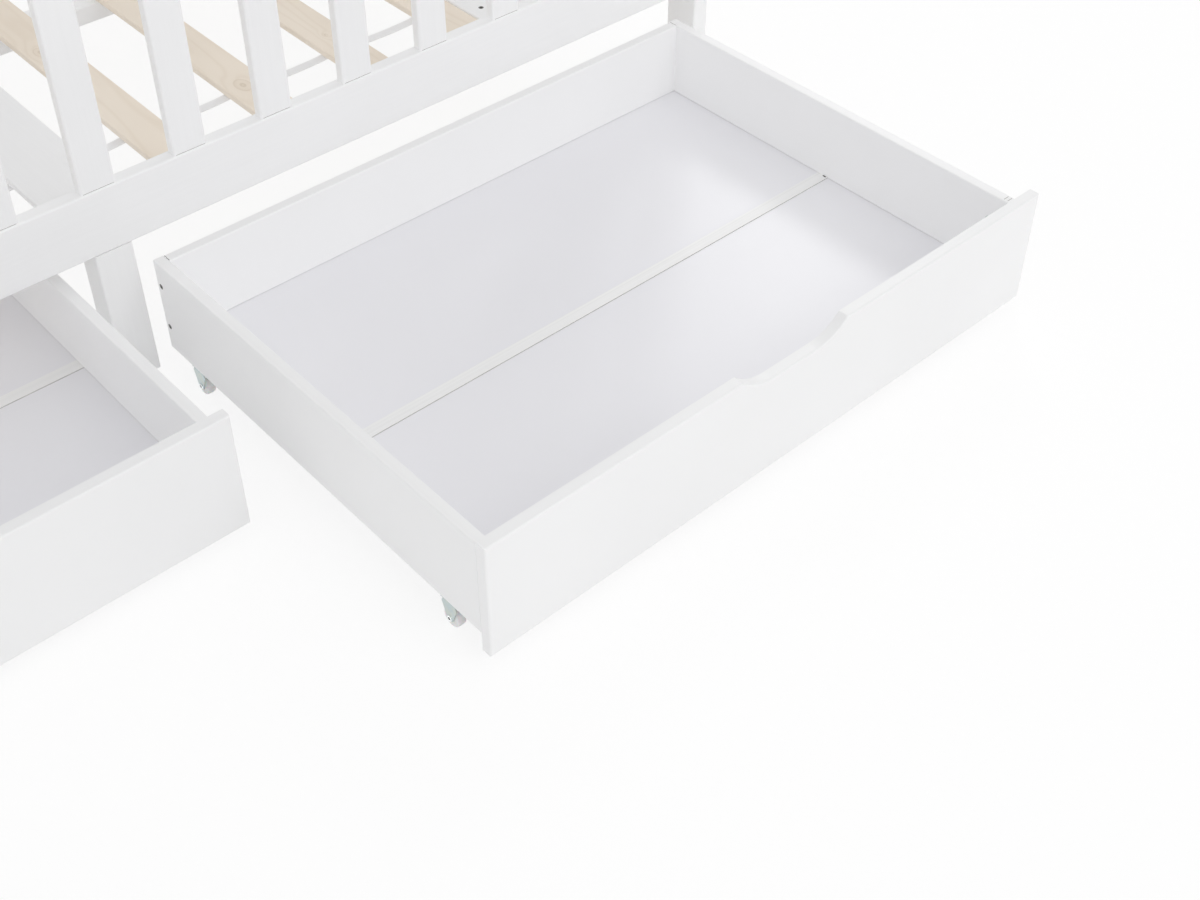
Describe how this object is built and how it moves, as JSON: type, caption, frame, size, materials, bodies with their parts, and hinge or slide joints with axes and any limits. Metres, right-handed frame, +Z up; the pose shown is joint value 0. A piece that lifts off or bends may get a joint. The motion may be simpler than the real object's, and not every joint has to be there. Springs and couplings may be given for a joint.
{
  "type": "storage bed",
  "caption": "White wooden single bed with slatted ends and side, a pine slat base, and drawers on casters that roll out from underneath.",
  "frame": {"origin": "on the floor, at the middle of the part as modelled, with the right drawer rolled right out and the left one half out", "axes": "+X along the bed to the right drawer's side, +Y from the drawers into the bed, +Z up"},
  "size_m": [2.028, 1.721, 0.82],
  "materials": {
    "white_paint": "softwood with a smooth satin white paint",
    "white_board": "fibreboard with a smooth satin white paint",
    "pine": "bare planed pine with small knots",
    "hardboard": "thin hardboard with a smooth cool white face",
    "white_plastic": "off-white extruded plastic",
    "wheel_plastic": "greyish translucent nylon",
    "zinc": "zinc-plated pressed steel",
    "ribbon": "woven polyester ribbon"
  },
  "bodies": {
    "bed_frame": {"post_front_right": "white_paint", "post_front_left": "white_paint", "post_back_right": "white_paint", "post_back_left": "white_paint", "centre_leg_front": "white_paint", "centre_leg_back": "white_paint", "centre_leg_middle": "white_paint", "front_side_rail": "white_paint", "back_side_rail": "white_paint", "front_top_rail": "white_paint", "front_upright_slats": "white_paint", "left_end_bottom_rail": "white_paint", "left_end_top_rail": "white_paint", "left_end_upright_slats": "white_paint", "right_end_bottom_rail": "white_paint", "right_end_top_rail": "white_paint", "right_end_upright_slats": "white_paint", "front_ledgers": "white_paint", "back_ledgers": "white_paint", "centre_beam": "white_paint", "beam_end_cleats": "white_paint", "pine_slats": "pine", "slat_ribbons": "ribbon", "tie_boards": "white_paint", "tie_board_blocks": "white_paint", "frame_bolts": "zinc", "barrel_nuts": "zinc", "frame_screws": "zinc"},
    "right_drawer": {"right_drawer_front": "white_board", "right_drawer_side_left": "white_board", "right_drawer_side_right": "white_board", "right_drawer_back": "white_board", "right_drawer_bottom_front": "hardboard", "right_drawer_bottom_back": "hardboard", "right_drawer_bottom_strip": "white_plastic", "right_drawer_screws": "zinc", "right_drawer_cams": "zinc", "right_drawer_caster_brackets": "zinc", "right_drawer_caster_axles": "zinc"},
    "right_drawer_wheel_front_left": {"right_drawer_wheel_front_left": "wheel_plastic"},
    "right_drawer_wheel_front_right": {"right_drawer_wheel_front_right": "wheel_plastic"},
    "right_drawer_wheel_back_left": {"right_drawer_wheel_back_left": "wheel_plastic"},
    "right_drawer_wheel_back_right": {"right_drawer_wheel_back_right": "wheel_plastic"},
    "left_drawer": {"left_drawer_front": "white_board", "left_drawer_side_left": "white_board", "left_drawer_side_right": "white_board", "left_drawer_back": "white_board", "left_drawer_bottom_front": "hardboard", "left_drawer_bottom_back": "hardboard", "left_drawer_bottom_strip": "white_plastic", "left_drawer_screws": "zinc", "left_drawer_cams": "zinc", "left_drawer_caster_brackets": "zinc", "left_drawer_caster_axles": "zinc"},
    "left_drawer_wheel_front_left": {"left_drawer_wheel_front_left": "wheel_plastic"},
    "left_drawer_wheel_front_right": {"left_drawer_wheel_front_right": "wheel_plastic"},
    "left_drawer_wheel_back_left": {"left_drawer_wheel_back_left": "wheel_plastic"},
    "left_drawer_wheel_back_right": {"left_drawer_wheel_back_right": "wheel_plastic"}
  },
  "joints": [
    {"name": "right_drawer_roll", "type": "slide", "parent": "bed_frame", "child": "right_drawer", "axis": [0, 1, 0], "range_m": [0, 0.661]},
    {"name": "right_drawer_wheel_front_left_spin", "type": "hinge", "parent": "right_drawer", "child": "right_drawer_wheel_front_left", "pos_m": [0.0445, -0.7895, 0.0135], "axis": [1, 0, 0], "continuous": true},
    {"name": "right_drawer_wheel_front_right_spin", "type": "hinge", "parent": "right_drawer", "child": "right_drawer_wheel_front_right", "pos_m": [0.9215, -0.7895, 0.0135], "axis": [1, 0, 0], "continuous": true},
    {"name": "right_drawer_wheel_back_left_spin", "type": "hinge", "parent": "right_drawer", "child": "right_drawer_wheel_back_left", "pos_m": [0.0445, -0.2815, 0.0135], "axis": [1, 0, 0], "continuous": true},
    {"name": "right_drawer_wheel_back_right_spin", "type": "hinge", "parent": "right_drawer", "child": "right_drawer_wheel_back_right", "pos_m": [0.9215, -0.2815, 0.0135], "axis": [1, 0, 0], "continuous": true},
    {"name": "left_drawer_roll", "type": "slide", "parent": "bed_frame", "child": "left_drawer", "axis": [0, 1, 0], "range_m": [-0.338, 0.323]},
    {"name": "left_drawer_wheel_front_left_spin", "type": "hinge", "parent": "left_drawer", "child": "left_drawer_wheel_front_left", "pos_m": [-0.9465, -0.4515, 0.0135], "axis": [1, 0, 0], "continuous": true},
    {"name": "left_drawer_wheel_front_right_spin", "type": "hinge", "parent": "left_drawer", "child": "left_drawer_wheel_front_right", "pos_m": [-0.0695, -0.4515, 0.0135], "axis": [1, 0, 0], "continuous": true},
    {"name": "left_drawer_wheel_back_left_spin", "type": "hinge", "parent": "left_drawer", "child": "left_drawer_wheel_back_left", "pos_m": [-0.9465, 0.0565, 0.0135], "axis": [1, 0, 0], "continuous": true},
    {"name": "left_drawer_wheel_back_right_spin", "type": "hinge", "parent": "left_drawer", "child": "left_drawer_wheel_back_right", "pos_m": [-0.0695, 0.0565, 0.0135], "axis": [1, 0, 0], "continuous": true}
  ],
  "couplings": [
    {"joint": "right_drawer_wheel_front_left_spin", "follows": "right_drawer_roll", "rad_per_m": -74.074},
    {"joint": "right_drawer_wheel_front_right_spin", "follows": "right_drawer_roll", "rad_per_m": -74.074},
    {"joint": "right_drawer_wheel_back_left_spin", "follows": "right_drawer_roll", "rad_per_m": -74.074},
    {"joint": "right_drawer_wheel_back_right_spin", "follows": "right_drawer_roll", "rad_per_m": -74.074},
    {"joint": "left_drawer_wheel_front_left_spin", "follows": "left_drawer_roll", "rad_per_m": -74.074},
    {"joint": "left_drawer_wheel_front_right_spin", "follows": "left_drawer_roll", "rad_per_m": -74.074},
    {"joint": "left_drawer_wheel_back_left_spin", "follows": "left_drawer_roll", "rad_per_m": -74.074},
    {"joint": "left_drawer_wheel_back_right_spin", "follows": "left_drawer_roll", "rad_per_m": -74.074}
  ]
}
